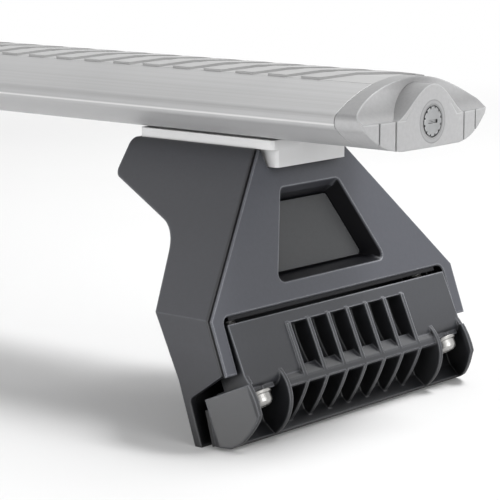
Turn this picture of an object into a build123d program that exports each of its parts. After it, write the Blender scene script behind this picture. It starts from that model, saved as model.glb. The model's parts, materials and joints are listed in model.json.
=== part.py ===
from build123d import *
from math import atan2, cos, degrees, hypot, radians, sin, sqrt, tan
import os

# Gutter-mount roof rack: a wing-section crossbar on two legs that clamp into rain gutters.
# X runs along the bar, Y along the vehicle, Z up; Z = 0 is the lower edge of the feet.
# Each leg is drawn on the +X side, with "reach" counted outward from the saddle's centre.

# Clearances
fit_gap = 0.3
thread_gap = 0.05
bolt_play = 0.4
slide_play = 0.25

# Crossbar
bar_length = 1200.0
bar_width = 80.0
bar_height = 26.0
bar_wall = 2.2
bar_underside = 109.0
nose_height = 11.5
nose_radius = 3.4
belly_half_width = 18.0
channel_half_width = 13.0
channel_lip = 2.4
channel_web = 2.2
lower_mouth = 14.0
upper_mouth = 12.0
strip_width = 34.0
strip_seat_depth = 3.1

# Top strip
rib_pitch = 16.5
rib_width = 9.0
rib_lean = 42.0
rib_height = 0.9
strip_flat_half_width = 6.0
keel_depth = 3.6
barb_reach = 1.2

# Leg
leg_inset = 79.0
leg_half_width = 77.0
leg_top = 105.2
leg_top_half_width = 25.2
shoulder_height = 48.6
leg_wall = 3.0
face_tilt = 20.0
face_reach = 69.2
foot_setback = 25.8
foot_lean = 0.333
heel_height = 24.0
knee_reach = 11.2
knee_height = 75.6
knee_radius = 20.0
back_reach = 33.0
back_height = 91.3
back_top_reach = 35.3
back_radius = 5.0
top_corner_radius = 2.5
skirt_front_height = 29.0
skirt_rear_height = 17.6
tray_depth = 7.0
deck_thickness = 4.0
deck_rib_spread = 18.0
deck_rib_height = 12.0

# Saddle pad
pad_overhang = 6.7
pad_rear_reach = 32.0
pad_slab_half_width = 24.4
pad_block_half_width = 21.7
pad_edge = 1.0

# Bar bolts
bar_bolt_radius = 4.0
bar_bolt_setback = 48.2
bar_bolt_rear_reach = 5.0
bar_bolt_head_gap = 6.0
bar_bolt_head_thickness = 5.0
bar_nut_flats = 13.0
bar_nut_height = 5.3
plate_margin = 8.0
plate_thickness = 1.6

# Cover
cover_lip = 1.5
cover_thickness = 3.0
cover_edge = 0.5
cover_bottom = 48.9
hem_inset = 4.3
hem_drop = 1.6
arm_bottom = 28.6
arm_width = 6.7
arm_corner_radius = 3.0
notch_half_width = 22.2
ear_inner = 24.0
locating_rib_depth = 7.0
locating_rib_width = 2.7
locating_rib_top = 88.0
locating_rib_bottom = 58.0
recess_top = 90.3
recess_bottom = 56.0
recess_top_half_width = 18.4
recess_bottom_half_width = 35.0
recess_depth = 7.8
recess_draft = 30.0
recess_wall = 2.0
recess_corner_radius = 3.0
badge_thickness = 1.6
badge_corner_radius = 1.5

# Clamp jaw, drawn down its panel (first number) and out of it (second number)
jaw_setback = 16.4
jaw_top = 46.2
jaw_tilt = 24.0
panel_wall = 2.2
panel_side_gap = 1.2
panel_length = 25.5
panel_edge_radius = 4.5
jaw_floor = 3.0
jaw_flange_depth = 12.0
pocket_depth = 15.0
jaw_back_depth = 16.3
ramp_top = 37.3
lip_top = (43.0, -11.9)
lip_bottom = (43.7, -12.6)
blade_top = (27.3, -16.3)
blade_bottom = (40.9, -18.5)
blade_setback = 1.0
shoulder_line = 23.3
end_plate = 2.0
end_plate_front = [(20, 0), (28, 1.8), (35.3, 1.5), (39.9, -3.2), (43.3, -9.1)]
outer_fin_front = [(20.5, 0), (26, 1.7), (32.9, 0.8), (39.6, -4.3), (43.2, -11.8)]
grille_fin_front = [(28.3, 0.8), (34.2, -5.4), (40, -13.6)]
fin_lap = 0.3
shelf_bottom = 28.3
shelf_proud = 0.8
shelf_edge = 0.5
fin_thickness = 1.9
bolt_bay_width = 21.2
grille_top = 4.8
grille_depth_top = 6.6
grille_depth_bottom = 4.0
grille_bow = 1.2
grille_wall = 2.2
grille_fins = 7
liner_thickness = 1.5

# Clamp bolts
clamp_bolt_tilt = 30.0
clamp_bolt_radius = 3.0
clamp_bolt_inset = 10.0
clamp_bolt_length = 37.0
clamp_bolt_seat_gap = 0.05
bolt_window = 7.0
seat_setback = 10.1
seat_height = 19.8
seat_block_length = 9.0
seat_block_width = 14.0
seat_block_front = 3.4
seat_block_rear = 6.5
bolt_head_radius = 5.5
bolt_head_height = 5.7
socket_flats = 4.0
socket_depth = 2.6
nut_bar_start = 31.0
nut_bar_thickness = 5.5
nut_bar_width = 10.6
nut_bar_offset = 0.7
gusset_drop = 10.0
gusset_taper = 2.0
gusset_foot_height = 31.0

# End cap and lock
cap_length = 16.0
cap_tip_length = 13.0
band_height = 11.4
scoop_top_length = 6.8
scoop_sag = 1.7
boss_half_width = 16.5
boss_waist_half_width = 12.0
boss_waist_height = 16.2
boss_height = 22.2
plug_length = 20.0
band_groove_spreads = (22.0, 31.0)
band_groove_width = 0.8
band_groove_depth = 0.7
lock_height = 9.7
lock_radius = 6.1
lock_length = 12.0
lock_face_radius = 4.5
lock_face_step = 0.8
lock_notches = 10
lock_notch_width = 1.1
key_slot_length = 6.0
key_slot_width = 1.4
key_slot_depth = 3.0
cam_length = 7.0
cam_width = 6.0
cam_thickness = 2.0

os.makedirs("parts", exist_ok=True)

# Places that several pieces share
leg_x = bar_length / 2 - leg_inset
bar_end = bar_length / 2
nose_z = bar_underside + nose_height
bar_top = bar_underside + bar_height
crown_drop = bar_height - nose_height - nose_radius
crown_half = bar_width / 2 - nose_radius * 0.4
crown_radius = (crown_half**2 + crown_drop**2) / (2 * crown_drop)
strip_seat = bar_top - strip_seat_depth
strip_half = strip_width / 2 - slide_play
deck_height = leg_top - tray_depth
arm_inner = leg_half_width - arm_width
jaw_half_width = arm_inner - fit_gap
panel_half_width = arm_inner - panel_side_gap
blade_half_width = leg_half_width - blade_setback
clamp_bolt_spread = jaw_half_width - clamp_bolt_inset
bar_bolt_front_reach = face_reach - bar_bolt_setback
bar_bolt_spacing = bar_bolt_front_reach + bar_bolt_rear_reach
bolt_slot_length = bar_bolt_spacing + 2 * (bar_bolt_radius + bolt_play)
bolt_slot_width = 2 * (bar_bolt_radius + bolt_play)
face_lean = tan(radians(face_tilt))
foot_reach = face_reach - foot_setback
jaw_reach = face_reach - jaw_setback
seat_reach = face_reach - seat_setback
leg_mid = Plane(origin=(leg_x, 0, 0), x_dir=(1, 0, 0), z_dir=(0, -1, 0))
leg_end = Plane(origin=(leg_x, 0, 0), x_dir=(0, 1, 0), z_dir=(1, 0, 0))
leg_plan = Plane.XY.move(Location((leg_x, 0, 0)))
bolt_plan = Plane.XY.move(Location((leg_x + (bar_bolt_front_reach - bar_bolt_rear_reach) / 2, 0, 0)))
face_plane = Plane(
    origin=(leg_x + face_reach, 0, 0),
    x_dir=(0, 1, 0),
    z_dir=(cos(radians(face_tilt)), 0, sin(radians(face_tilt))),
)
jaw_plane = Plane(
    origin=(leg_x + jaw_reach, 0, jaw_top),
    x_dir=(sin(radians(jaw_tilt)), 0, -cos(radians(jaw_tilt))),
    z_dir=(0, -1, 0),
)
jaw_across = Plane(origin=jaw_plane.origin, x_dir=(0, 1, 0), z_dir=jaw_plane.x_dir)
bolt_plane = Plane(
    origin=(leg_x + seat_reach, 0, seat_height),
    x_dir=(0, 1, 0),
    z_dir=(-sin(radians(clamp_bolt_tilt)), 0, cos(radians(clamp_bolt_tilt))),
)
bar_plane = Plane(origin=(0, 0, 0), x_dir=(0, 1, 0), z_dir=(1, 0, 0))
flare = (leg_half_width - leg_top_half_width) / (leg_top - shoulder_height)


def crown(y):
    """Height of the bar's top surface at a distance y from its middle."""
    return bar_top - crown_radius + sqrt(crown_radius**2 - y**2)


def strip_crown(rise):
    """The strip's top from its +Y edge to its -Y edge in three flats, raised by a height."""
    edges = (strip_half, strip_flat_half_width, -strip_flat_half_width, -strip_half)
    return [(y, crown(y) + rise) for y in edges]


def face_at(height):
    """Reach of the leg's sloping front face at a height."""
    return face_reach - face_lean * height


def up_face(height):
    """Distance up the front face from Z = 0 to a height."""
    return height / cos(radians(face_tilt))


def flare_at(height):
    """Half width of the leg at a height above its shoulder."""
    return leg_top_half_width + flare * (leg_top - height)


def leg_side_points(inset, top, bottom):
    """The leg's end view on its +Y side, drawn in by an inset, from top to bottom."""
    flare_inset = inset * sqrt(1 + flare**2)
    shoulder = shoulder_height - (flare_inset - inset) / flare
    return [
        (flare_at(top) - flare_inset, top),
        (leg_half_width - inset, shoulder),
        (leg_half_width - inset, bottom),
    ]


def rear_at(height):
    """Reach of the rear wall's inner face at a height between heel and knee."""
    slope = (foot_reach - foot_lean * heel_height - knee_reach) / (knee_height - heel_height)
    outer = knee_reach + slope * (knee_height - height)
    return outer + leg_wall * sqrt(1 + slope**2)


def both_sides(points):
    """Closed outline from its +Y half, listed from top to bottom."""
    return [*points, *[(-y, z) for y, z in reversed(points)]]


def leg_block(inset):
    """Block with the leg's end view, flared above the shoulder, drawn in by an inset."""
    with BuildPart() as block:
        with BuildSketch(leg_end.offset(-2 * back_reach)):
            with BuildLine():
                Polyline(both_sides(leg_side_points(inset, leg_top, -leg_top)), close=True)
            make_face()
        extrude(amount=4 * face_reach)
    return block.part


def save(piece, label):
    """Label one finished piece and write it."""
    piece.label = label
    export_step(piece, f"parts/{label}.step")


def save_pair(piece, label):
    """Write the right-hand piece and its mirror image for the left-hand side."""
    left = mirror(piece, about=Plane.YZ)
    save(piece, f"{label}_right")
    save(left, f"{label}_left")


def bar_outline():
    """Draw the bar's wing section: crowned top, round noses and a flat belly."""
    nose_top = (crown_half, nose_z + nose_radius)
    nose_tip = (bar_width / 2, nose_z)
    nose_low = (bar_width / 2 - nose_radius * 0.7, nose_z - nose_radius)
    flank = (bar_width / 2 - nose_radius * 3, bar_underside + nose_radius * 0.85)
    belly = (belly_half_width, bar_underside)
    ThreePointArc((-nose_top[0], nose_top[1]), (0, bar_top), nose_top)
    ThreePointArc(nose_top, nose_tip, nose_low)
    ThreePointArc(nose_low, flank, belly)
    Line(belly, (-belly[0], belly[1]))
    ThreePointArc((-belly[0], belly[1]), (-flank[0], flank[1]), (-nose_low[0], nose_low[1]))
    ThreePointArc((-nose_low[0], nose_low[1]), (-nose_tip[0], nose_tip[1]), (-nose_top[0], nose_top[1]))


def front_at(y):
    """Distance of the end cap's bowed front from the bar's end at a distance y from its middle."""
    return cap_length - front_radius + sqrt(front_radius**2 - y**2)


def bladed(front, rear):
    """Draw a fin or end plate: a front edge of one or two arcs closed by straight rear edges."""
    for start in range(0, len(front) - 1, 2):
        ThreePointArc(*front[start : start + 3])
    Polyline([front[-1], *rear, front[0]])


def jaw_block(inset):
    """Block as wide as the jaw: straight sides down to the shoulder, spreading ones below it."""
    with BuildPart() as block:
        for start, half, rear_half in (
            (0, panel_half_width, panel_half_width),
            (shoulder_line, jaw_half_width, blade_half_width),
        ):
            with BuildSketch(jaw_across.offset(start)):
                with BuildLine():
                    Polyline(
                        both_sides(
                            [
                                (half - inset, jaw_back_depth),
                                (half - inset, 0),
                                (rear_half - inset, -jaw_back_depth),
                                (rear_half - inset, -2 * jaw_back_depth),
                            ]
                        ),
                        close=True,
                    )
                make_face()
            extrude(amount=shoulder_line)
    return block.part


# Crossbar: one extrusion with a nut channel below and a strip channel above
channel_height = (bar_height - strip_seat_depth - 2 * channel_lip - channel_web) / 2
web_bottom = bar_underside + channel_lip + channel_height
column_half_width = channel_half_width + bar_wall
with BuildPart() as crossbar:
    with BuildSketch(bar_plane.offset(-bar_length / 2)):
        with BuildLine():
            bar_outline()
        make_face()
        offset(amount=-bar_wall, mode=Mode.SUBTRACT)
        with BuildLine():
            Polyline(
                (-column_half_width, bar_underside),
                (column_half_width, bar_underside),
                (column_half_width, crown(column_half_width)),
                (-column_half_width, crown(column_half_width)),
                close=True,
            )
        make_face()
        for floor in (bar_underside + channel_lip, web_bottom + channel_web):
            with Locations((0, floor + channel_height / 2)):
                Rectangle(2 * channel_half_width, channel_height, mode=Mode.SUBTRACT)
        with Locations((0, bar_underside)):
            Rectangle(lower_mouth, 3 * channel_lip, mode=Mode.SUBTRACT)
        with Locations((0, strip_seat)):
            Rectangle(upper_mouth, 3 * channel_lip, mode=Mode.SUBTRACT)
        with Locations((0, strip_seat + bar_height / 2)):
            Rectangle(strip_width, bar_height, mode=Mode.SUBTRACT)
    extrude(amount=bar_length)
save(crossbar.part, "crossbar")

# Raised slanting ribs of the top strip
rib_count = int(bar_length / rib_pitch)
rib_shift = strip_half * tan(radians(rib_lean))
with BuildPart() as strip_ribs:
    with BuildSketch(Plane.XY.offset(strip_seat)):
        with GridLocations(rib_pitch, 1, rib_count, 1):
            Polygon(
                (-rib_width / 2 - rib_shift, -strip_half),
                (rib_width / 2 - rib_shift, -strip_half),
                (rib_width / 2 + rib_shift, strip_half),
                (-rib_width / 2 + rib_shift, strip_half),
                align=None,
            )
    extrude(amount=bar_height)
    with BuildSketch(bar_plane.offset(-bar_length / 2)):
        with BuildLine():
            Polyline(
                [*strip_crown(rib_height), (-strip_half, strip_seat), (strip_half, strip_seat)],
                close=True,
            )
        make_face()
    extrude(amount=bar_length, mode=Mode.INTERSECT)

# Top strip: a soft cover with a barbed keel that snaps into the upper channel
keel_half = upper_mouth / 2 - slide_play
barb_top = strip_seat - channel_lip - fit_gap
keel_points = [
    (strip_half, strip_seat),
    (keel_half, strip_seat),
    (keel_half, barb_top),
    (keel_half + barb_reach, barb_top),
    (keel_half, strip_seat - channel_lip - keel_depth),
]
with BuildPart() as top_strip:
    with BuildSketch(bar_plane.offset(-bar_length / 2)):
        with BuildLine():
            Polyline([*reversed(strip_crown(0)), *both_sides(keel_points)], close=True)
        make_face()
    extrude(amount=bar_length)
    add(strip_ribs.part)
save(top_strip.part, "top_strip")

# Inside of the leg body
foot_thickness = leg_wall * sqrt(1 + foot_lean**2)
heel = (foot_reach - foot_lean * heel_height, heel_height)
knee = (knee_reach, knee_height)
back = (-back_reach, back_height)
skirt_front = (face_at(skirt_front_height) - cover_lip - fit_gap, skirt_front_height)
skirt_rear = (foot_reach + foot_thickness - foot_lean * skirt_rear_height, skirt_rear_height)
leg_outside = leg_block(0)
leg_inside = leg_block(leg_wall)
nut_bar_room = leg_block(leg_wall + fit_gap)
with BuildPart() as leg_cavity:
    with BuildSketch(leg_mid):
        with BuildLine():
            Polyline(
                (foot_reach + foot_lean * leg_top, -leg_top),
                heel,
                knee,
                back,
                (-back_reach, deck_height - deck_thickness + leg_wall),
                (2 * face_reach, deck_height - deck_thickness + leg_wall),
                (2 * face_reach, -leg_top),
                close=True,
            )
        cavity_face = make_face()
        fillet(cavity_face.vertices().sort_by_distance((leg_x + knee_reach, 0, knee_height))[0], knee_radius)
        offset(amount=-leg_wall, mode=Mode.REPLACE)
    extrude(amount=leg_half_width, both=True)
    add(leg_inside, mode=Mode.INTERSECT)

# Webs inside the leg: two under the deck and two that carry the nut bar
web_lap = 0.5 * leg_wall
gusset_inner = jaw_half_width + fit_gap
gusset_outer = leg_half_width - web_lap
gusset_rear = bolt_plane.from_local_coords((0, nut_bar_offset + nut_bar_width / 2, nut_bar_start))
gusset_front = bolt_plane.from_local_coords((0, nut_bar_offset, nut_bar_start))
gusset_low = bolt_plane.from_local_coords((0, nut_bar_offset + gusset_taper, nut_bar_start - gusset_drop))
with BuildPart() as leg_webs:
    for spread in (-deck_rib_spread, deck_rib_spread):
        with BuildSketch(leg_mid.offset(spread - leg_wall / 2)):
            with BuildLine():
                Polyline(
                    (-back_reach + 2 * leg_wall, deck_height - web_lap),
                    (knee_reach + leg_wall - web_lap, knee_height + leg_wall - web_lap),
                    (knee_reach + 2 * leg_wall, knee_height - deck_rib_height),
                    (bar_bolt_front_reach + plate_margin, deck_height - web_lap),
                    close=True,
                )
            make_face()
        extrude(amount=leg_wall)
    for start in (-gusset_outer, gusset_inner):
        with BuildSketch(leg_mid.offset(start)):
            with BuildLine():
                Polyline(
                    (gusset_front.X - leg_x, gusset_front.Z),
                    (gusset_rear.X - leg_x, gusset_rear.Z),
                    (rear_at(gusset_rear.Z) - web_lap, gusset_rear.Z),
                    (rear_at(gusset_foot_height) - web_lap, gusset_foot_height),
                    (gusset_low.X - leg_x, gusset_low.Z),
                    close=True,
                )
            make_face()
        extrude(amount=gusset_outer - gusset_inner)

# Leg body: hollow moulding, open at the front for the cover and below for the jaw
tray_rear = pad_rear_reach + fit_gap
with BuildPart() as leg_body:
    with BuildSketch(leg_mid) as leg_side:
        with BuildLine():
            Polyline(
                (foot_reach, 0),
                heel,
                knee,
                back,
                (-back_top_reach, leg_top),
                (face_at(leg_top) - cover_lip - fit_gap, leg_top),
                skirt_front,
                skirt_rear,
                (foot_reach + foot_thickness, 0),
                close=True,
            )
        make_face()
        for corner, radius in (
            (knee, knee_radius),
            (back, back_radius),
            ((-back_top_reach, leg_top), top_corner_radius),
            (skirt_rear, top_corner_radius),
        ):
            fillet(leg_side.vertices().sort_by_distance((corner[0], corner[1], 0))[0], radius)
    extrude(amount=leg_half_width, both=True)
    add(leg_outside, mode=Mode.INTERSECT)
    add(leg_cavity.part, mode=Mode.SUBTRACT)
    add(leg_webs.part)
    with BuildSketch(leg_plan.offset(deck_height)):
        with Locations((face_reach - tray_rear, 0)):
            Rectangle(2 * face_reach, 2 * (pad_block_half_width + fit_gap))
    extrude(amount=leg_top, mode=Mode.SUBTRACT)
    with BuildSketch(bolt_plan.offset(deck_height)):
        Rectangle(bolt_slot_length, bolt_slot_width)
    extrude(amount=-deck_thickness - web_lap, mode=Mode.SUBTRACT)
save_pair(leg_body.part, "leg_body")

# Saddle pad: a slab on the leg's walls with a block that fills the tray between them
pad_front_reach = face_at(leg_top) + pad_overhang
with BuildPart() as saddle_pad:
    with BuildSketch(leg_plan.offset(leg_top)):
        with Locations(((pad_front_reach - pad_rear_reach) / 2, 0)):
            Rectangle(pad_front_reach + pad_rear_reach, 2 * pad_slab_half_width)
    extrude(amount=bar_underside - leg_top)
    with BuildSketch(leg_plan.offset(deck_height)):
        with Locations(((pad_front_reach - pad_rear_reach) / 2, 0)):
            Rectangle(pad_front_reach + pad_rear_reach, 2 * pad_block_half_width)
    extrude(amount=tray_depth)
    chamfer(saddle_pad.edges().filter_by(Axis.Z), pad_edge)
    with BuildSketch(bolt_plan.offset(deck_height)):
        Rectangle(bolt_slot_length, bolt_slot_width)
    extrude(amount=bar_underside - deck_height, mode=Mode.SUBTRACT)
save_pair(saddle_pad.part, "saddle_pad")

# Spreader plate: steel strip under the deck that the bar bolts' nuts press on
plate_seat = deck_height - deck_thickness
nut_seat = plate_seat - plate_thickness
with BuildPart() as spreader_plate:
    with BuildSketch(bolt_plan.offset(nut_seat)):
        Rectangle(bar_bolt_spacing + 2 * plate_margin, 2 * plate_margin)
        Rectangle(bolt_slot_length, bolt_slot_width, mode=Mode.SUBTRACT)
    extrude(amount=plate_thickness)
save_pair(spreader_plate.part, "spreader_plate")

# Bar bolts: heads that slide in the bar's lower channel, shanks through the pad and nuts below
head_seat = bar_underside + channel_lip + fit_gap
with BuildPart() as bar_bolts:
    with BuildSketch(bolt_plan.offset(head_seat)):
        with GridLocations(bar_bolt_spacing, 1, 2, 1):
            Rectangle(bar_bolt_spacing - bar_bolt_head_gap, 2 * (channel_half_width - slide_play))
    extrude(amount=bar_bolt_head_thickness)
    with BuildSketch(bolt_plan.offset(nut_seat)):
        with GridLocations(bar_bolt_spacing, 1, 2, 1):
            Circle(bar_bolt_radius)
    extrude(amount=head_seat - nut_seat)
    with BuildSketch(bolt_plan.offset(nut_seat)):
        with GridLocations(bar_bolt_spacing, 1, 2, 1):
            RegularPolygon(bar_nut_flats / 2, 6, major_radius=False)
    extrude(amount=-bar_nut_height)
save_pair(bar_bolts.part, "bar_bolts")

# Nut bar: the steel strip inside the leg that both clamp bolts screw into
with BuildPart() as nut_bar:
    with BuildSketch(bolt_plane.offset(nut_bar_start)):
        with Locations((0, nut_bar_offset)):
            Rectangle(2 * leg_half_width, nut_bar_width)
        with GridLocations(2 * clamp_bolt_spread, 1, 2, 1):
            Circle(clamp_bolt_radius + thread_gap, mode=Mode.SUBTRACT)
    extrude(amount=nut_bar_thickness)
    add(nut_bar_room, mode=Mode.INTERSECT)
save_pair(nut_bar.part, "nut_bar")

# Cover: one sloping plate with an ear each side of the saddle and an arm each side of the jaw
cover_outline = [
    (ear_inner, up_face(leg_top)),
    (leg_top_half_width, up_face(leg_top)),
    (leg_half_width, up_face(shoulder_height)),
    (leg_half_width, up_face(arm_bottom)),
    (arm_inner, up_face(arm_bottom)),
    (arm_inner, up_face(cover_bottom)),
]
notch_floor = (notch_half_width, up_face(deck_height))
recess_corners = both_sides(
    [
        (recess_top_half_width, up_face(recess_top)),
        (recess_bottom_half_width, up_face(recess_bottom)),
    ]
)
with BuildPart() as cover_recess:
    with BuildSketch(face_plane) as recess_sketch:
        with BuildLine():
            Polyline(recess_corners, close=True)
        make_face()
        fillet(recess_sketch.vertices(), recess_corner_radius)
    extrude(amount=-recess_depth, taper=recess_draft)

with BuildPart() as recess_back:
    with BuildSketch(face_plane):
        with BuildLine():
            Polyline(recess_corners, close=True)
        make_face()
        offset(amount=recess_wall, kind=Kind.INTERSECTION)
    extrude(amount=-recess_depth - recess_wall, taper=recess_draft)

plate_top = deck_height - deck_thickness - fit_gap
plate_side = leg_side_points(leg_wall + fit_gap, plate_top, arm_bottom)
rib_outer = [
    leg_side_points(leg_wall + fit_gap, height, arm_bottom)[0]
    for height in (locating_rib_top, locating_rib_bottom)
]
with BuildPart() as leg_cover:
    with BuildSketch(face_plane.offset(-cover_lip)) as cover_sketch:
        with BuildLine():
            Polyline(both_sides([notch_floor, *cover_outline]), close=True)
        make_face()
        for y in (-arm_inner, arm_inner):
            inner_corner = cover_sketch.vertices().sort_by_distance((y, up_face(cover_bottom), 0))[0]
            fillet(inner_corner, arm_corner_radius)
    extrude(amount=cover_lip)
    front_face = leg_cover.faces().sort_by(Axis(face_plane.origin, face_plane.z_dir))[-1]
    chamfer(front_face.edges(), cover_edge)
    with BuildSketch(face_plane.offset(-cover_thickness)) as plate_sketch:
        with BuildLine():
            Polyline(
                both_sides(
                    [
                        *[(half, up_face(height)) for half, height in plate_side],
                        (arm_inner, up_face(arm_bottom)),
                        (arm_inner, up_face(cover_bottom)),
                        (arm_inner - hem_inset, up_face(cover_bottom)),
                        (arm_inner - hem_inset, up_face(cover_bottom) - hem_drop),
                    ]
                ),
                close=True,
            )
        make_face()
        for y in (-arm_inner, arm_inner):
            inner_corner = plate_sketch.vertices().sort_by_distance((y, up_face(cover_bottom), 0))[0]
            fillet(inner_corner, arm_corner_radius)
    extrude(amount=cover_thickness - cover_lip)
    with BuildSketch(face_plane.offset(-locating_rib_depth)):
        for side in (-1, 1):
            with BuildLine():
                Polyline(
                    (side * rib_outer[0][0], up_face(locating_rib_top)),
                    (side * rib_outer[1][0], up_face(locating_rib_bottom)),
                    (side * (rib_outer[1][0] - locating_rib_width), up_face(locating_rib_bottom)),
                    (side * (rib_outer[0][0] - locating_rib_width), up_face(locating_rib_top)),
                    close=True,
                )
            make_face()
    extrude(amount=locating_rib_depth - cover_lip)
    add(recess_back.part)
    add(cover_recess.part, mode=Mode.SUBTRACT)
save_pair(leg_cover.part, "leg_cover")

# Badge: a plain plate on the floor of the cover's recess
with BuildPart() as badge:
    with BuildSketch(face_plane.offset(-recess_depth)) as badge_sketch:
        with BuildLine():
            Polyline(recess_corners, close=True)
        make_face()
        offset(amount=-recess_depth * tan(radians(recess_draft)) - fit_gap, mode=Mode.REPLACE)
        fillet(badge_sketch.vertices(), badge_corner_radius)
    extrude(amount=badge_thickness)
save_pair(badge.part, "badge")


# Jaw ends: side plates that spread below the shoulder
jaw_outside = jaw_block(0)
jaw_inside = jaw_block(end_plate)
wall_top = panel_length - jaw_floor
with BuildPart() as jaw_ends:
    with BuildSketch(jaw_plane):
        with BuildLine():
            bladed(
                end_plate_front,
                [
                    lip_bottom,
                    blade_bottom,
                    blade_top,
                    (wall_top, -jaw_back_depth),
                    (wall_top, -jaw_flange_depth),
                    (0, -jaw_flange_depth),
                    (0, 0),
                ],
            )
        make_face()
    extrude(amount=blade_half_width, both=True)
    add(jaw_outside, mode=Mode.INTERSECT)
    add(jaw_inside, mode=Mode.SUBTRACT)

# Clamp jaw: a hooded panel with a grille, a fringe of fins and the blade that grips the gutter
outer_fin_spread = jaw_half_width - bolt_bay_width
fin_pitch = 2 * outer_fin_spread / (grille_fins + 1)
grille_half = fin_pitch * (grille_fins - 1) / 2
with BuildPart() as clamp_jaw:
    with BuildSketch(jaw_plane) as jaw_section:
        with BuildLine():
            Polyline(
                (0, 0),
                (panel_length, 0),
                (panel_length, -pocket_depth),
                (ramp_top, -pocket_depth),
                lip_top,
                lip_bottom,
                blade_bottom,
                blade_top,
                (wall_top, -jaw_back_depth),
                (wall_top, -panel_wall),
                (jaw_floor, -panel_wall),
                (jaw_floor, -jaw_flange_depth),
                (0, -jaw_flange_depth),
                close=True,
            )
        make_face()
        fillet(jaw_section.vertices().sort_by_distance((panel_length, 0, 0))[0], panel_edge_radius)
    extrude(amount=blade_half_width, both=True)
    add(jaw_outside, mode=Mode.INTERSECT)
    add(jaw_ends.part)
    with BuildSketch(jaw_plane):
        with Locations(((grille_top + panel_length) / 2, 0)):
            Rectangle(panel_length - grille_top, 2 * panel_wall)
    extrude(amount=grille_half, both=True, mode=Mode.SUBTRACT)
    with BuildSketch(jaw_plane):
        with BuildLine():
            ramp_middle = (grille_depth_top + grille_depth_bottom) / 2 + grille_bow
            ThreePointArc(
                (panel_length, -grille_depth_bottom),
                ((grille_top + panel_length) / 2, -ramp_middle),
                (grille_top, -grille_depth_top),
            )
            Polyline(
                (grille_top, -grille_depth_top),
                (grille_top, -panel_wall),
                (grille_top - grille_wall, -panel_wall),
                (grille_top - grille_wall, -grille_depth_top - grille_wall),
                (grille_top, -grille_depth_top - grille_wall),
            )
            ThreePointArc(
                (grille_top, -grille_depth_top - grille_wall),
                ((grille_top + panel_length) / 2, -ramp_middle - grille_wall),
                (panel_length, -grille_depth_bottom - grille_wall),
            )
            Line((panel_length, -grille_depth_bottom - grille_wall), (panel_length, -grille_depth_bottom))
        make_face()
    extrude(amount=grille_half + fin_thickness / 2, both=True)
    with BuildSketch(jaw_plane) as shelf:
        with BuildLine():
            Polyline(
                (panel_length - panel_edge_radius, -pocket_depth - fin_lap),
                (panel_length - panel_edge_radius, -panel_wall),
                (panel_length, shelf_proud),
                (shelf_bottom, shelf_proud),
                (shelf_bottom, -pocket_depth - fin_lap),
                close=True,
            )
        make_face()
        for down in (panel_length, shelf_bottom):
            chamfer(shelf.vertices().sort_by_distance((down, shelf_proud, 0))[0], shelf_edge)
    extrude(amount=outer_fin_spread, both=True)
    for number in range(grille_fins):
        with BuildSketch(jaw_plane.offset(number * fin_pitch - grille_half - fin_thickness / 2)):
            with BuildLine():
                bladed(
                    grille_fin_front,
                    [
                        (ramp_top, -pocket_depth - fin_lap),
                        (panel_length, -pocket_depth - fin_lap),
                        (panel_length, -grille_depth_bottom - grille_wall),
                        (grille_top, -grille_depth_top - grille_wall),
                        (grille_top - grille_wall, -panel_wall + fin_lap),
                        (grille_top, shelf_proud),
                    ],
                )
            make_face()
        extrude(amount=fin_thickness)
    for spread in (-outer_fin_spread, outer_fin_spread):
        with BuildSketch(jaw_plane.offset(spread - fin_thickness / 2)):
            with BuildLine():
                bladed(
                    outer_fin_front,
                    [
                        (ramp_top, -pocket_depth - fin_lap),
                        (panel_length, -pocket_depth - fin_lap),
                        (wall_top, -panel_wall),
                    ],
                )
            make_face()
        extrude(amount=fin_thickness)
    with BuildSketch(bolt_plane):
        with Locations((0, (seat_block_rear - seat_block_front) / 2)):
            with GridLocations(2 * clamp_bolt_spread, 1, 2, 1):
                Rectangle(seat_block_width, seat_block_front + seat_block_rear)
    extrude(amount=seat_block_length)
    with BuildSketch(bolt_plane):
        with GridLocations(2 * clamp_bolt_spread, 1, 2, 1):
            Circle(clamp_bolt_radius + slide_play)
    extrude(amount=seat_block_length, mode=Mode.SUBTRACT)
    with BuildSketch(bolt_plane.offset(seat_block_length)):
        with GridLocations(2 * clamp_bolt_spread, 1, 2, 1):
            Rectangle(bolt_window, bolt_window)
    extrude(amount=nut_bar_start - seat_block_length, mode=Mode.SUBTRACT)
save_pair(clamp_jaw.part, "clamp_jaw")

# Jaw liner: a rubber strip on the back of the blade
blade_run = (blade_bottom[0] - blade_top[0], blade_bottom[1] - blade_top[1])
blade_length = hypot(*blade_run)
blade_turn = degrees(atan2(blade_run[1], blade_run[0]))
liner_plane = jaw_plane * Location((*blade_top, 0), (0, 0, blade_turn))
with BuildPart() as jaw_liner:
    with BuildSketch(liner_plane):
        Rectangle(blade_length, liner_thickness, align=(Align.MIN, Align.MAX))
    extrude(amount=blade_half_width, both=True)
save_pair(jaw_liner.part, "jaw_liner")

# Clamp bolts: socket screws that draw the jaw up towards the nut bar
head_base = bolt_plane.offset(-clamp_bolt_seat_gap)
head_top = head_base.offset(-bolt_head_height)
with BuildPart() as clamp_bolt:
    with BuildSketch(head_base):
        with Locations((clamp_bolt_spread, 0)):
            Circle(clamp_bolt_radius)
    extrude(amount=clamp_bolt_length)
    with BuildSketch(head_base):
        with Locations((clamp_bolt_spread, 0)):
            Circle(bolt_head_radius)
    extrude(amount=-bolt_head_height)
    with BuildSketch(head_top):
        with Locations((clamp_bolt_spread, 0)):
            RegularPolygon(socket_flats / 2, 6, major_radius=False)
    extrude(amount=socket_depth, mode=Mode.SUBTRACT)
save_pair(clamp_bolt.part, "clamp_bolt_rear")
save_pair(mirror(clamp_bolt.part, about=Plane.XZ), "clamp_bolt_front")

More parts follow.
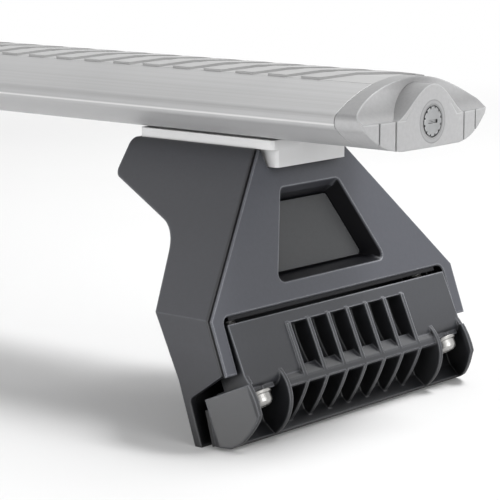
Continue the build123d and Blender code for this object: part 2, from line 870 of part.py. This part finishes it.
# End cap: light band and lock boss in front, hollow scoops above, plugs behind
front_bow = cap_length - cap_tip_length
front_radius = ((bar_width / 2) ** 2 + front_bow**2) / (2 * front_bow)
cap_side = Plane(origin=(bar_end, 0, bar_underside), x_dir=(1, 0, 0), z_dir=(0, -1, 0))
lock_spot = (0, bar_underside + lock_height)
with BuildPart() as cap_scoops:
    with BuildSketch(cap_side):
        with BuildLine():
            ledge = (cap_tip_length, band_height)
            rim = (scoop_top_length, bar_height)
            sagged = ((ledge[0] + rim[0]) / 2 - scoop_sag, (ledge[1] + rim[1]) / 2 - scoop_sag)
            ThreePointArc(ledge, sagged, rim)
            Polyline(
                rim,
                (2 * cap_length, bar_height),
                (2 * cap_length, band_height),
                ledge,
            )
        make_face()
    extrude(amount=bar_width, both=True)
    with BuildSketch(bar_plane.offset(bar_end)):
        with BuildLine():
            waist = (boss_waist_half_width, bar_underside + boss_waist_height)
            foot = (boss_half_width, bar_underside + band_height)
            ThreePointArc(waist, (0, bar_underside + boss_height), (-waist[0], waist[1]))
            Polyline((-waist[0], waist[1]), (-foot[0], foot[1]), foot, waist)
        make_face()
    extrude(amount=2 * cap_length, mode=Mode.SUBTRACT)

with BuildPart() as end_cap:
    with BuildSketch(bar_plane.offset(bar_end + fit_gap)):
        with BuildLine():
            bar_outline()
        make_face()
    extrude(amount=cap_length)
    with BuildSketch(Plane.XY.offset(bar_underside)):
        with BuildLine():
            ThreePointArc(
                (bar_end + cap_tip_length, bar_width / 2),
                (bar_end + cap_length, 0),
                (bar_end + cap_tip_length, -bar_width / 2),
            )
            Polyline(
                (bar_end + cap_tip_length, -bar_width / 2),
                (bar_end, -bar_width / 2),
                (bar_end, bar_width / 2),
                (bar_end + cap_tip_length, bar_width / 2),
            )
        make_face()
    extrude(amount=bar_height, mode=Mode.INTERSECT)
    add(cap_scoops.part, mode=Mode.SUBTRACT)
    with BuildSketch(Plane.XY.offset(bar_underside)):
        for spread in band_groove_spreads:
            groove_floor = bar_end + front_at(spread) - band_groove_depth
            with Locations((groove_floor, -spread), (groove_floor, spread)):
                Rectangle(cap_length, band_groove_width, align=(Align.MIN, Align.CENTER))
    extrude(amount=band_height, mode=Mode.SUBTRACT)
    with BuildSketch(bar_plane.offset(bar_end + fit_gap)):
        with BuildLine():
            bar_outline()
        make_face()
        offset(amount=-bar_wall - fit_gap, mode=Mode.REPLACE)
        with Locations((0, bar_underside + bar_height / 2)):
            Rectangle(2 * (column_half_width + fit_gap), bar_height, mode=Mode.SUBTRACT)
    extrude(amount=-plug_length)
    with BuildSketch(bar_plane.offset(bar_end)):
        with Locations(lock_spot):
            Circle(lock_radius + thread_gap)
    extrude(amount=2 * cap_length, mode=Mode.SUBTRACT)
    with BuildSketch(bar_plane.offset(bar_end)):
        with Locations(lock_spot):
            Rectangle(2 * (cam_length + fit_gap), 2 * (cam_length + fit_gap))
    extrude(amount=cap_length - lock_length + fit_gap, mode=Mode.SUBTRACT)
save_pair(end_cap.part, "end_cap")

# Lock cylinder: turns in the cap's boss and carries a short cam behind it
with BuildPart() as lock_cylinder:
    with BuildSketch(bar_plane.offset(bar_end + cap_length - lock_length)):
        with Locations(lock_spot):
            Circle(lock_radius)
    extrude(amount=lock_length - lock_face_step)
    with BuildSketch(bar_plane.offset(bar_end + cap_length - lock_face_step)):
        with Locations(lock_spot):
            Circle(lock_face_radius)
            with PolarLocations(lock_face_radius, lock_notches):
                Rectangle(lock_notch_width, lock_notch_width, mode=Mode.SUBTRACT)
    extrude(amount=lock_face_step)
    with BuildSketch(bar_plane.offset(bar_end + cap_length)):
        with Locations(lock_spot):
            Rectangle(key_slot_length, key_slot_width)
    extrude(amount=-key_slot_depth, mode=Mode.SUBTRACT)
    with BuildSketch(bar_plane.offset(bar_end + cap_length - lock_length - cam_thickness)):
        with Locations(lock_spot):
            Circle(lock_radius)
            Rectangle(2 * cam_length, cam_width)
            Circle(cam_length, mode=Mode.INTERSECT)
    extrude(amount=cam_thickness)
save_pair(lock_cylinder.part, "lock_cylinder")
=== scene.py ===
import json
from math import atan2, cos, pi, radians, sin, sqrt

import bmesh
import bpy
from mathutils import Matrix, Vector


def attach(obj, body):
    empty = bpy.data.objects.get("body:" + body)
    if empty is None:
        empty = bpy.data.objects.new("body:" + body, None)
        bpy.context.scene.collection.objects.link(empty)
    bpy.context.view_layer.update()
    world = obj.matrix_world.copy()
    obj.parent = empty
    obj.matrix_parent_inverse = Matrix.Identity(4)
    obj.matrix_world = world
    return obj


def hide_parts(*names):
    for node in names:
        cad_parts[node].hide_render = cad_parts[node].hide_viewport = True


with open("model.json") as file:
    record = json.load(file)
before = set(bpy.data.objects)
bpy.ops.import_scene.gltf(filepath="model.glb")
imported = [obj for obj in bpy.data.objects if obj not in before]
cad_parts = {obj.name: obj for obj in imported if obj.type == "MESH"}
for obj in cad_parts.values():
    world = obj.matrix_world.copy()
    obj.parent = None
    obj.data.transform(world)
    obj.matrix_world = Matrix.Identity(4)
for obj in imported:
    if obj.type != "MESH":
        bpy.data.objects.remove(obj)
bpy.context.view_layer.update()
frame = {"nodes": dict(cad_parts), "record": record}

mm = 0.001
hands = (("right", 1), ("left", -1))

# Places of the solids that the looks follow, in millimetres, x from the bar's middle
face_foot = 590.2  # the leg's sloping front face, carried down to the ground
face_lean = radians(20)
seam_depth = 1.9  # the gap between cover and leg, behind that face
skin_line = 119.8  # where the bar's upper skin meets its underside
bolt_seat = (580.1, 60.0, 19.8)
bolt_lean = radians(30)
lock_height = 118.7
cap_tip = 616.0
cap_half_chord = 40.0
cap_bow = 3.0

# Near-black for painted shade: the gap behind the cover's edge, and the cover's recess walls, hem
# and inside
painted_shade_black = (0.004, 0.004, 0.005)


# Helpers for node materials
class Nodes:
    """Short calls that add nodes to a tree and give their outputs."""

    def __init__(self, tree):
        self.tree = tree
        texture = self.node("ShaderNodeTexCoord").outputs
        self.coords = texture["Object"]
        self.facing = texture["Normal"]
        self.heading = texture["Generated"]

    def node(self, kind, **values):
        made = self.tree.nodes.new(kind)
        for name, value in values.items():
            setattr(made, name, value)
        return made

    def feed(self, value, socket):
        """Give a socket another node's output, a number, a vector or a colour."""
        if isinstance(value, bpy.types.NodeSocket):
            self.tree.links.new(value, socket)
        elif socket.type == "RGBA":
            socket.default_value = (*value, 1)
        else:
            socket.default_value = value

    def fill(self, node, **values):
        for name, value in values.items():
            self.feed(value, node.inputs[name.replace("_", " ")])

    def stretched(self, scale):
        mapping = self.node("ShaderNodeMapping")
        self.fill(mapping, Vector=self.coords, Scale=scale)
        return mapping.outputs["Vector"]

    def noise(self, scale, detail=3.0, roughness=0.5, vector=None):
        noise = self.node("ShaderNodeTexNoise")
        vector = vector or self.coords
        self.fill(noise, Vector=vector, Scale=scale, Detail=detail, Roughness=roughness)
        return noise.outputs["Fac"]

    def ramp(self, factor, *stops):
        """Grey that goes from one stop's value to the other's, each at its place."""
        ramp = self.node("ShaderNodeValToRGB")
        for element, (place, value) in zip(ramp.color_ramp.elements, stops):
            element.position = place
            element.color = (value, value, value, 1)
        self.fill(ramp, Fac=factor)
        return ramp.outputs["Color"]

    def mix(self, factor, first, second, blend="MIX"):
        mix = self.node("ShaderNodeMix", data_type="RGBA", blend_type=blend)
        for value, index in ((factor, 0), (first, 6), (second, 7)):
            self.feed(value, mix.inputs[index])
        return mix.outputs[2]

    def tinted(self, colour, shade):
        return self.mix(1.0, colour, shade, "MULTIPLY")

    def maths(self, operation, first, second=0.0, clamp=False):
        made = self.node("ShaderNodeMath", operation=operation, use_clamp=clamp)
        self.feed(first, made.inputs[0])
        self.feed(second, made.inputs[1])
        return made.outputs[0]

    def axis(self, letter, vector=None):
        """One coordinate of a vector, by default of the place in the object's own space."""
        parts = self.node("ShaderNodeSeparateXYZ")
        self.feed(vector or self.coords, parts.inputs[0])
        return parts.outputs[letter]

    def line(self, value, place, half_width):
        """1 where a value is at a place, fading to 0 within half a width."""
        away = self.maths("ABSOLUTE", self.maths("SUBTRACT", value, place))
        return self.maths("SUBTRACT", 1.0, self.maths("DIVIDE", away, half_width), clamp=True)

    def rounded(self, radius):
        """Normal with its edges rounded, and how near to an edge a point is."""
        bevel = self.node("ShaderNodeBevel", samples=6)
        self.fill(bevel, Radius=radius)
        dot = self.node("ShaderNodeVectorMath", operation="DOT_PRODUCT")
        self.feed(bevel.outputs["Normal"], dot.inputs[0])
        self.feed(self.node("ShaderNodeNewGeometry").outputs["Normal"], dot.inputs[1])
        edge = self.maths("SUBTRACT", 1.0, dot.outputs["Value"], clamp=True)
        return bevel.outputs["Normal"], edge

    def openness(self, reach, deep):
        """Shade of a point: 1 in the open, and down to deep in a narrow corner."""
        occlusion = self.node("ShaderNodeAmbientOcclusion", samples=8)
        self.fill(occlusion, Distance=reach)
        return self.ramp(occlusion.outputs["AO"], (0.2, deep), (0.88, 1.0))

    def bump(self, height, strength, distance, normal):
        bump = self.node("ShaderNodeBump")
        self.fill(bump, Height=height, Strength=strength, Distance=distance, Normal=normal)
        return bump.outputs["Normal"]


class Shader(Nodes):
    """A new material's nodes, with the sockets of its Principled shader to set."""

    def __init__(self, name):
        self.material = bpy.data.materials.new(name)
        self.material.use_nodes = True
        super().__init__(self.material.node_tree)
        self.bsdf = self.tree.nodes["Principled BSDF"]

    def set(self, **values):
        self.fill(self.bsdf, **values)


# Materials, each from its darker and its lighter colour
def moulded_plastic(
    name, dark, light, edge_highlight, roughness=(0.36, 0.5), grain=2600, gloss=0.55, deep=0.08
):
    """Fine-grained moulded plastic: faint mottling, lighter edges that are partly wear and partly
    painted highlight, and painted shade in crevices.

    Gives the shader and the colour, which the caller finishes and sets.
    """
    shader = Shader(name)
    normal, edge = shader.rounded(1.1 * mm)
    mottle = shader.noise(9, 3, 0.5)
    colour = shader.mix(shader.ramp(mottle, (0.3, 0.0), (0.7, 1.0)), dark, light)
    speck = shader.ramp(shader.noise(640, 2, 0.7), (0.35, 0.95), (0.7, 1.03))
    colour = shader.tinted(colour, speck)
    patches = shader.ramp(shader.noise(90, 4, 0.7), (0.25, 0.4), (0.75, 1.0))
    # Edges lightened: patchy wear, with a painted highlight along every edge
    edge_wear_and_highlight = shader.maths("MULTIPLY", shader.maths("MULTIPLY", edge, patches), 9.0, clamp=True)
    colour = shader.mix(edge_wear_and_highlight, colour, edge_highlight)
    # Painted shade: darker in crevices and corners
    colour = shader.tinted(colour, shader.openness(14 * mm, deep))
    shader.set(
        Roughness=shader.ramp(mottle, (0.25, roughness[0]), (0.75, roughness[1])),
        Normal=shader.bump(shader.noise(grain, 2, 0.6), 0.2, 0.05 * mm, normal),
        Specular_IOR_Level=gloss,
    )
    return shader, colour


def behind_face(shader):
    """Distance behind the leg's sloping front face, in metres, at either end of the bar."""
    outward = shader.maths("MULTIPLY", shader.maths("ABSOLUTE", shader.axis("X")), cos(face_lean))
    upward = shader.maths("MULTIPLY", shader.axis("Z"), sin(face_lean))
    face = face_foot * mm * cos(face_lean)
    return shader.maths("SUBTRACT", face, shader.maths("ADD", outward, upward))


def shaded_near_ground(shader, colour):
    """The colour, darkened towards the ground: painted shade over the leg's lowest part."""
    height = shader.maths("DIVIDE", shader.axis("Z"), 50 * mm)
    return shader.tinted(colour, shader.ramp(height, (0.2, 0.35), (0.75, 1.0)))


def dark_plastic(name, dark, light, edge_highlight, roughness=(0.36, 0.5)):
    """Moulded plastic with painted shade near the ground."""
    shader, colour = moulded_plastic(name, dark, light, edge_highlight, roughness)
    shader.set(Base_Color=shaded_near_ground(shader, colour))
    return shader.material


def leg_plastic(name, dark, light, edge_highlight):
    """The leg's plastic, with a painted shadow line along the cover's seam and painted shade near
    the ground.
    """
    shader, colour = moulded_plastic(name, dark, light, edge_highlight)
    # Painted shade: a dark line in the gap behind the cover's edge
    painted_seam_line = shader.line(behind_face(shader), seam_depth * mm, 1.1 * mm)
    colour = shader.mix(shader.maths("MULTIPLY", painted_seam_line, 0.85), colour, painted_shade_black)
    shader.set(Base_Color=shaded_near_ground(shader, colour))
    return shader.material


def cover_plastic(name, dark, light, edge_highlight):
    """The cover's plastic, with painted shade on the recess's walls, on the hem and well behind the
    face, where its reflection is dimmed too.
    """
    shader, colour = moulded_plastic(name, dark, light, edge_highlight)
    along, across, up = (shader.axis(letter, shader.facing) for letter in "XYZ")
    rear_wall = shader.ramp(shader.maths("MULTIPLY", across, -1.0), (0.3, 0.0), (0.5, 1.0))
    lower_wall = shader.ramp(up, (0.75, 0.0), (0.9, 0.9))
    upper_wall = shader.ramp(shader.maths("MULTIPLY", up, -1.0), (0.4, 0.0), (0.6, 0.6))
    hem = shader.ramp(shader.maths("ABSOLUTE", along), (0.88, 0.0), (0.92, 0.85))
    # Painted shade: the recess's walls, the hem and the inside are darkened to near-black, and
    # their reflection dimmed
    painted_shade = rear_wall
    for turned_so in (upper_wall, lower_wall, hem):
        painted_shade = shader.maths("MAXIMUM", painted_shade, turned_so)
    behind = shader.maths("DIVIDE", behind_face(shader), 10 * mm)
    sunk = shader.ramp(behind, (0.02, 0.0), (0.1, 1.0))
    inside = shader.ramp(behind, (0.3, 0.0), (0.38, 0.9))
    painted_shade = shader.maths("MAXIMUM", shader.maths("MULTIPLY", painted_shade, sunk), inside)
    shader.set(
        Base_Color=shader.mix(painted_shade, colour, painted_shade_black),
        Specular_Tint=shader.mix(painted_shade, (1, 1, 1), (0.1, 0.1, 0.1)),
    )
    return shader.material


def cap_plastic(name, dark, light, edge_highlight):
    """The cap's light plastic: painted shade where it faces up, with fine rings round the lock."""
    shader, colour = moulded_plastic(
        name, dark, light, edge_highlight, roughness=(0.4, 0.5), grain=1800, gloss=0.4, deep=0.45
    )
    # Painted shade: faces turned upwards are darkened
    painted_top_shade = shader.ramp(shader.axis("Z", shader.facing), (0.15, 1.0), (0.6, 0.56))
    colour = shader.tinted(colour, painted_top_shade)
    height = shader.maths("SUBTRACT", shader.axis("Z"), lock_height * mm)
    squares = [shader.maths("MULTIPLY", value, value) for value in (shader.axis("Y"), height)]
    radius = shader.maths("SQRT", shader.maths("ADD", *squares))
    band = shader.ramp(shader.line(radius, 7.3 * mm, 1.6 * mm), (0.45, 0.0), (0.55, 0.3))
    colour = shader.mix(band, colour, (0.2, 0.2, 0.21))
    for ring in (6.5, 8.1):
        groove = shader.maths("MULTIPLY", shader.line(radius, ring * mm, 0.3 * mm), 0.6)
        colour = shader.mix(groove, colour, (0.12, 0.12, 0.12))
    shader.set(Base_Color=colour)
    return shader.material


def soft_rubber(name, dark, light, edge_highlight, deep=0.5):
    """Matt rubber: dusty mottling, a painted highlight on its edges, painted shade in its crevices
    and a soft bloom over a fine pebble.
    """
    shader = Shader(name)
    normal, edge = shader.rounded(0.6 * mm)
    cloud = shader.noise(38, 5, 0.65)
    colour = shader.mix(shader.ramp(cloud, (0.3, 0.0), (0.7, 1.0)), dark, light)
    # Painted highlight along the edges
    colour = shader.mix(shader.maths("MULTIPLY", edge, 1.4, clamp=True), colour, edge_highlight)
    # Painted shade in crevices, in the base colour below
    shader.set(
        Base_Color=shader.tinted(colour, shader.openness(6 * mm, deep)),
        Roughness=shader.ramp(cloud, (0.2, 0.62), (0.8, 0.8)),
        Normal=shader.bump(shader.noise(1500, 3, 0.6), 0.3, 0.06 * mm, normal),
        Specular_IOR_Level=0.3,
    )
    return shader.material


def extruded_aluminium(name, dark, light, edge_highlight, underside_painted_light, seam_highlight):
    """Satin anodised extrusion: long faint die lines, a painted highlight on its edges and where
    its skins meet, and a painted lighter underside.
    """
    shader = Shader(name)
    normal, edge = shader.rounded(0.6 * mm)
    lines = shader.noise(1.0, 3, 0.6, shader.stretched((3, 1400, 1400)))
    colour = shader.mix(shader.ramp(lines, (0.3, 0.0), (0.7, 1.0)), dark, light)
    cloud = shader.ramp(shader.noise(14, 4, 0.6), (0.3, 0.95), (0.7, 1.03))
    colour = shader.tinted(colour, cloud)
    # Painted highlight along the edges
    colour = shader.mix(shader.maths("MULTIPLY", edge, 0.8, clamp=True), colour, edge_highlight)
    # Painted light: faces turned downwards are lightened
    down = shader.maths("MULTIPLY", shader.axis("Z", shader.facing), -1.0)
    colour = shader.mix(shader.ramp(down, (0.1, 0.0), (0.5, 1.0)), colour, underside_painted_light)
    # Painted highlight: a bright line where the skins meet
    painted_seam_line = shader.line(shader.axis("Z"), skin_line * mm, 0.6 * mm)
    shader.set(
        Base_Color=shader.mix(shader.maths("MULTIPLY", painted_seam_line, 0.8), colour, seam_highlight),
        Roughness=shader.ramp(lines, (0.2, 0.5), (0.8, 0.6)),
        Normal=shader.bump(lines, 0.12, 0.05 * mm, normal),
        Metallic=0.45,
    )
    return shader.material


def plated_steel(name, dark, light, steel_edge_highlight, roughness=(0.25, 0.42), deep=0.25):
    """Plated steel: slightly clouded, with fine turning marks, a painted highlight on its edges and
    painted shade in its corners.
    """
    shader = Shader(name)
    normal, edge = shader.rounded(0.3 * mm)
    cloud = shader.noise(160, 5, 0.7)
    colour = shader.mix(shader.ramp(cloud, (0.3, 0.0), (0.7, 1.0)), dark, light)
    # Painted highlight along the edges
    colour = shader.mix(shader.maths("MULTIPLY", edge, 1.5, clamp=True), colour, steel_edge_highlight)
    shader.set(
        Base_Color=shader.tinted(colour, shader.openness(3 * mm, deep)),
        Roughness=shader.ramp(cloud, (0.2, roughness[0]), (0.8, roughness[1])),
        Normal=shader.bump(shader.noise(900, 2, 0.5), 0.2, 0.05 * mm, normal),
        Metallic=1.0,
    )
    return shader.material


def grey(value):
    return value, value, value


# Slot: material, darker and lighter colour, colour of the painted edge highlights, and what the
# material takes besides
finishes = {
    "bar_aluminium": (
        extruded_aluminium,
        grey(0.38),
        (0.44, 0.44, 0.445),
        (0.8, 0.81, 0.82),
        # the underside's painted light, then the painted highlight where the skins meet
        (0.58, 0.58, 0.585),
        grey(0.85),
    ),
    "strip_rubber": (soft_rubber, grey(0.43), grey(0.47), grey(0.54), 0.75),
    "cap_plastic": (cap_plastic, (0.49, 0.49, 0.495), (0.51, 0.51, 0.515), (0.62, 0.625, 0.63)),
    "lock_steel": (
        plated_steel,
        (0.36, 0.365, 0.37),
        (0.44, 0.445, 0.45),
        grey(0.6),
        (0.4, 0.55),
        0.6,
    ),
    "leg_plastic": (leg_plastic, (0.040, 0.041, 0.048), (0.047, 0.048, 0.056), (0.13, 0.135, 0.15)),
    "cover_plastic": (
        cover_plastic,
        (0.068, 0.071, 0.086),
        (0.078, 0.082, 0.098),
        (0.34, 0.35, 0.38),
    ),
    "badge_plastic": (
        dark_plastic,
        (0.050, 0.051, 0.054),
        (0.056, 0.058, 0.061),
        (0.16, 0.165, 0.175),
        (0.5, 0.6),
    ),
    "jaw_plastic": (dark_plastic, (0.038, 0.040, 0.047), (0.046, 0.048, 0.056), (0.32, 0.33, 0.36)),
    "pad_rubber": (soft_rubber, grey(0.78), (0.82, 0.82, 0.825), grey(0.86)),
    "liner_rubber": (soft_rubber, (0.02, 0.02, 0.021), (0.035, 0.035, 0.036), grey(0.06)),
    "fixing_steel": (plated_steel, (0.34, 0.335, 0.325), (0.46, 0.455, 0.44), (0.7, 0.69, 0.67)),
}
materials = {slot: make(slot, *values) for slot, (make, *values) in finishes.items()}

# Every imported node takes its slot's material
for entry in frame["record"]["subparts"]:
    node = frame["nodes"][entry["node"]]
    node.data.materials.clear()
    node.data.materials.append(materials[entry["material_slot"]])


# New pieces, drawn in millimetres
def new_piece(name, points, faces, slot_name, body):
    """A closed mesh with its faces turned outwards, on a body and in a material slot."""
    mesh = bpy.data.meshes.new(name)
    mesh.from_pydata(points, [], faces)
    turned = bmesh.new()
    turned.from_mesh(mesh)
    bmesh.ops.recalc_face_normals(turned, faces=turned.faces)
    turned.to_mesh(mesh)
    turned.free()
    piece = bpy.data.objects.new(name, mesh)
    bpy.context.scene.collection.objects.link(piece)
    mesh.materials.append(materials[slot_name])
    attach(piece, body)
    return piece


# Clamp bolts as they look, as (radius, height over the seat): ridged shank, flange and dome
bolt_sides = 48
ridges = 20
bolt_profile = [(2.6, -37.0)]
for ridge in range(ridges):
    bolt_profile += [(3.0, ridge - 36.6), (2.72, ridge - 36.1)]
bolt_profile += [(3.0, -16.2), (3.0, 0.05)]
bolt_profile += [(5.3, 0.05), (5.5, 0.3), (5.5, 1.1), (5.2, 1.4), (4.8, 1.55)]
bolt_profile += [(4.7, 3.3), (4.45, 4.4), (3.9, 5.15), (3.2, 5.6), (2.75, 5.75)]
socket_flats = 4.0
socket_heights = (5.7, 3.1)


def hexagon_radius(turn, flats):
    return flats / 2 / cos((turn % (pi / 3)) - pi / 6)


def domed_bolt(name, seat, out, side):
    """A turned bolt from its seat: rings of points along its axis, closed at both ends."""
    turns = [2 * pi * index / bolt_sides for index in range(bolt_sides)]
    hexagon = [hexagon_radius(turn, socket_flats) for turn in turns]
    rings = [([radius] * bolt_sides, height) for radius, height in bolt_profile]
    rings += [(hexagon, height) for height in socket_heights]
    across = Vector((0, 1, 0))
    level = out.cross(across)
    points = []
    for radii, height in rings:
        for turn, radius in zip(turns, radii):
            away = (across * cos(turn) + level * sin(turn)) * radius
            points.append((seat + away + out * height) * mm)
    faces = [list(range(bolt_sides))]
    for low in range(0, bolt_sides * (len(rings) - 1), bolt_sides):
        high = low + bolt_sides
        for index in range(bolt_sides):
            after = (index + 1) % bolt_sides
            faces.append([low + index, high + index, high + after, low + after])
    faces.append(list(reversed(range(len(points) - bolt_sides, len(points)))))
    piece = new_piece(name, points, faces, "fixing_steel", f"bolt_{side}")
    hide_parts(f"clamp_bolt_{side}")


seat_x, seat_y, seat_z = bolt_seat
for hand, sign in hands:
    out = Vector((sign * sin(bolt_lean), 0, -cos(bolt_lean)))
    for end, y in (("front", -seat_y), ("rear", seat_y)):
        seat = Vector((sign * seat_x, y, seat_z))
        domed_bolt(f"domed_bolt_{end}_{hand}", seat, out, f"{end}_{hand}")


def solid_ring(name, sign, outer, inner, front, back, slot_name, body):
    """A closed solid between two loops of (y, z) points, in front at front(y), behind at back."""
    points = []
    for (outer_y, outer_z), (inner_y, inner_z) in zip(outer, inner):
        corners = (
            (front(outer_y), outer_y, outer_z),
            (back, outer_y, outer_z),
            (back, inner_y, inner_z),
            (front(inner_y), inner_y, inner_z),
        )
        points += [(sign * x * mm, y * mm, z * mm) for x, y, z in corners]
    faces = []
    for row in range(len(outer)):
        following = (row + 1) % len(outer)
        for corner in range(4):
            after = (corner + 1) % 4
            here = (4 * row + corner, 4 * following + corner)
            faces.append([*here, 4 * following + after, 4 * row + after])
    new_piece(name, points, faces, slot_name, body)


def on_lock(turn, radius):
    """A (y, z) point at a turn and radius round the lock's axis."""
    return radius * cos(turn), lock_height + radius * sin(turn)


# Cap boss as it looks: a bell round the lock that flows out to the band's grooves
skin = 0.02  # how far the new fronts stand before the solids'
band_top = 120.4
band_bottom = 109.05
bell_half = 21.55
bell_rise = 12.5
bell_fullness = 0.72
bell_steps = 60
bore_radius = 6.25
boss_back = 606.9
bow_radius = (cap_half_chord**2 + cap_bow**2) / (2 * cap_bow)
bell = []
for step in range(bell_steps + 1):
    y = bell_half * cos(pi * step / bell_steps)
    swell = (0.5 + 0.5 * cos(pi * y / bell_half)) ** bell_fullness
    bell.append((y, band_top + bell_rise * swell))
band_corner = [(bell_half, 113.0), (bell_half, 109.8), (17.8, 109.1)]
bell += [(-y, z) for y, z in band_corner]
bell += [(y, band_bottom) for y in range(-12, 13, 4)]
bell += band_corner[::-1]
bore = [on_lock(atan2(z - lock_height, y), bore_radius) for y, z in bell]


def cap_front(y):
    """The cap's bowed front, measured along the bar from its middle."""
    return cap_tip - bow_radius + sqrt(bow_radius**2 - y**2)


# Lock face as it looks: a wide disc with notches in its rim, and a shutter behind its key slot
rim_steps = 120
notches = 12
rim_radius = 5.5
notch_depth = 0.75
notch_half_steps = 2.0
slot_half_length = 3.0
slot_half_width = 0.7
face_back = 615.1
shutter_front = 615.7
shutter_slope = 0.05
shutter_back = 614.6
notch_steps = rim_steps // notches
rim = []
slot_edge = []
for step in range(rim_steps):
    turn = 2 * pi * step / rim_steps
    notch = max(0.0, 1 - abs(step % notch_steps - notch_steps / 2) / notch_half_steps)
    rim.append(on_lock(turn, rim_radius - notch_depth * sqrt(notch)))
    to_end = slot_half_length / max(abs(cos(turn)), 0.01)
    to_side = slot_half_width / max(abs(sin(turn)), 0.01)
    slot_edge.append(on_lock(turn, min(to_end, to_side)))


def shrunk(loop, across, up):
    """A loop of (y, z) points, drawn in towards the lock's axis."""
    return [(across * y, lock_height + up * (z - lock_height)) for y, z in loop]


def boss_front(y):
    return cap_front(y) + skin


def face_front(y):
    return cap_tip + skin


def shutter_face(y):
    return shutter_front - shutter_slope * abs(y)


shutter = shrunk(slot_edge, 0.98, 0.98)
middle = shrunk(slot_edge, 0.3, 0.1)
lock_pieces = (
    ("lock_boss", bell, bore, boss_front, boss_back, "cap_plastic", "cap"),
    ("lock_face", rim, slot_edge, face_front, face_back, "lock_steel", "lock"),
    ("lock_shutter", shutter, middle, shutter_face, shutter_back, "lock_steel", "lock"),
)
for hand, sign in hands:
    for name, outer, inner, front, back, slot_name, body in lock_pieces:
        solid_ring(f"{name}_{hand}", sign, outer, inner, front, back, slot_name, f"{body}_{hand}")


# Studio, in metres
def seen_rays(nodes):
    """1 for rays that show the surroundings: from the camera, mirrored or through glass."""
    rays = nodes.node("ShaderNodeLightPath").outputs
    seen = rays["Is Camera Ray"]
    for other in ("Is Glossy Ray", "Is Transmission Ray"):
        seen = nodes.maths("MAXIMUM", seen, rays[other])
    return seen


# Floor: pale with the object's shadow, fading to white further off where it is seen
reach = 8
fade_middle = (0.4, 0, 0)
fade_start = 0.7
fade_end = 1.3
corners = [(-reach, -reach, 0), (reach, -reach, 0), (reach, reach, 0), (-reach, reach, 0)]
floor_mesh = bpy.data.meshes.new("floor")
floor_mesh.from_pydata(corners, [], [(0, 1, 2, 3)])
floor = bpy.data.objects.new("floor", floor_mesh)
bpy.context.scene.collection.objects.link(floor)
floor_look = Shader("floor")
seen = seen_rays(floor_look)
tone = floor_look.ramp(floor_look.noise(3), (0.3, 0.78), (0.7, 0.80))
floor_look.set(
    Base_Color=floor_look.mix(seen, (0.75, 0.75, 0.75), tone),
    Roughness=1.0,
    Specular_IOR_Level=0.0,
    Emission_Color=(1, 1, 1),
    Emission_Strength=floor_look.maths("MULTIPLY", seen, 0.07),
)
distance = floor_look.node("ShaderNodeVectorMath", operation="DISTANCE")
floor_look.feed(floor_look.coords, distance.inputs[0])
floor_look.feed(fade_middle, distance.inputs[1])
fade = floor_look.node("ShaderNodeMapRange", interpolation_type="SMOOTHSTEP")
floor_look.fill(
    fade, Value=distance.outputs["Value"], From_Min=fade_start, From_Max=fade_end
)
glow = floor_look.node("ShaderNodeEmission")
floor_look.fill(glow, Strength=seen)
blend = floor_look.node("ShaderNodeMixShader")
floor_look.feed(fade.outputs["Result"], blend.inputs[0])
floor_look.feed(floor_look.bsdf.outputs[0], blend.inputs[1])
floor_look.feed(glow.outputs[0], blend.inputs[2])
floor_look.fill(floor_look.tree.nodes["Material Output"], Surface=blend.outputs[0])
floor_mesh.materials.append(floor_look.material)

# World: white where it is seen, and nearly even light, a little weaker from overhead
world = bpy.data.worlds.new("studio")
bpy.context.scene.world = world
world.use_nodes = True
surroundings = Nodes(world.node_tree)
sky = surroundings.node("ShaderNodeMapRange", interpolation_type="SMOOTHSTEP")
height = surroundings.axis("Z", surroundings.heading)
surroundings.fill(sky, Value=height, From_Min=-0.1, To_Min=0.4, To_Max=0.35)
choice = surroundings.node("ShaderNodeMix")
surroundings.fill(choice, Factor=seen_rays(surroundings), A=sky.outputs["Result"], B=1.0)
background = world.node_tree.nodes["Background"]
surroundings.fill(background, Color=(1, 1, 1), Strength=choice.outputs["Result"])


def area_light(name, place, aim, size, watts):
    light = bpy.data.lights.new(name, "AREA")
    light.shape = "RECTANGLE"
    light.size, light.size_y = size
    light.energy = watts
    lamp = bpy.data.objects.new(name, light)
    lamp.location = place
    lamp.rotation_euler = (Vector(aim) - Vector(place)).to_track_quat("-Z", "Y").to_euler()
    bpy.context.scene.collection.objects.link(lamp)


leg_spot = (0.56, 0, 0.06)
area_light("key", (2.6, -0.3, 0.6), leg_spot, (1.2, 1.0), 14)
area_light("top", (1.0, 0.75, 2.1), leg_spot, (0.75, 0.75), 36)
area_light("back", (0.9, 1.5, 1.9), (0.4, 0, 0.06), (0.9, 0.6), 9)
area_light("fill", (0.2, -2.2, 0.3), leg_spot, (1.4, 0.6), 20)

# Camera at the photograph's viewpoint, with its focal length in the photograph's pixels
photo_width = 500
focal_pixels = 2131
sensor_width = 36
yaw = radians(50.08)
pitch = radians(10.24)
camera_data = bpy.data.cameras.new("camera")
camera_data.sensor_width = sensor_width
camera_data.lens = focal_pixels / photo_width * sensor_width
camera_data.clip_start = 0.05
camera = bpy.data.objects.new("camera", camera_data)
camera.location = (1.0735, -0.6536, 0.2133)
look = Vector((-cos(yaw) * cos(pitch), sin(yaw) * cos(pitch), -sin(pitch)))
camera.rotation_euler = look.to_track_quat("-Z", "Y").to_euler()
bpy.context.scene.collection.objects.link(camera)
bpy.context.scene.camera = camera
bpy.context.scene.view_settings.view_transform = "Standard"
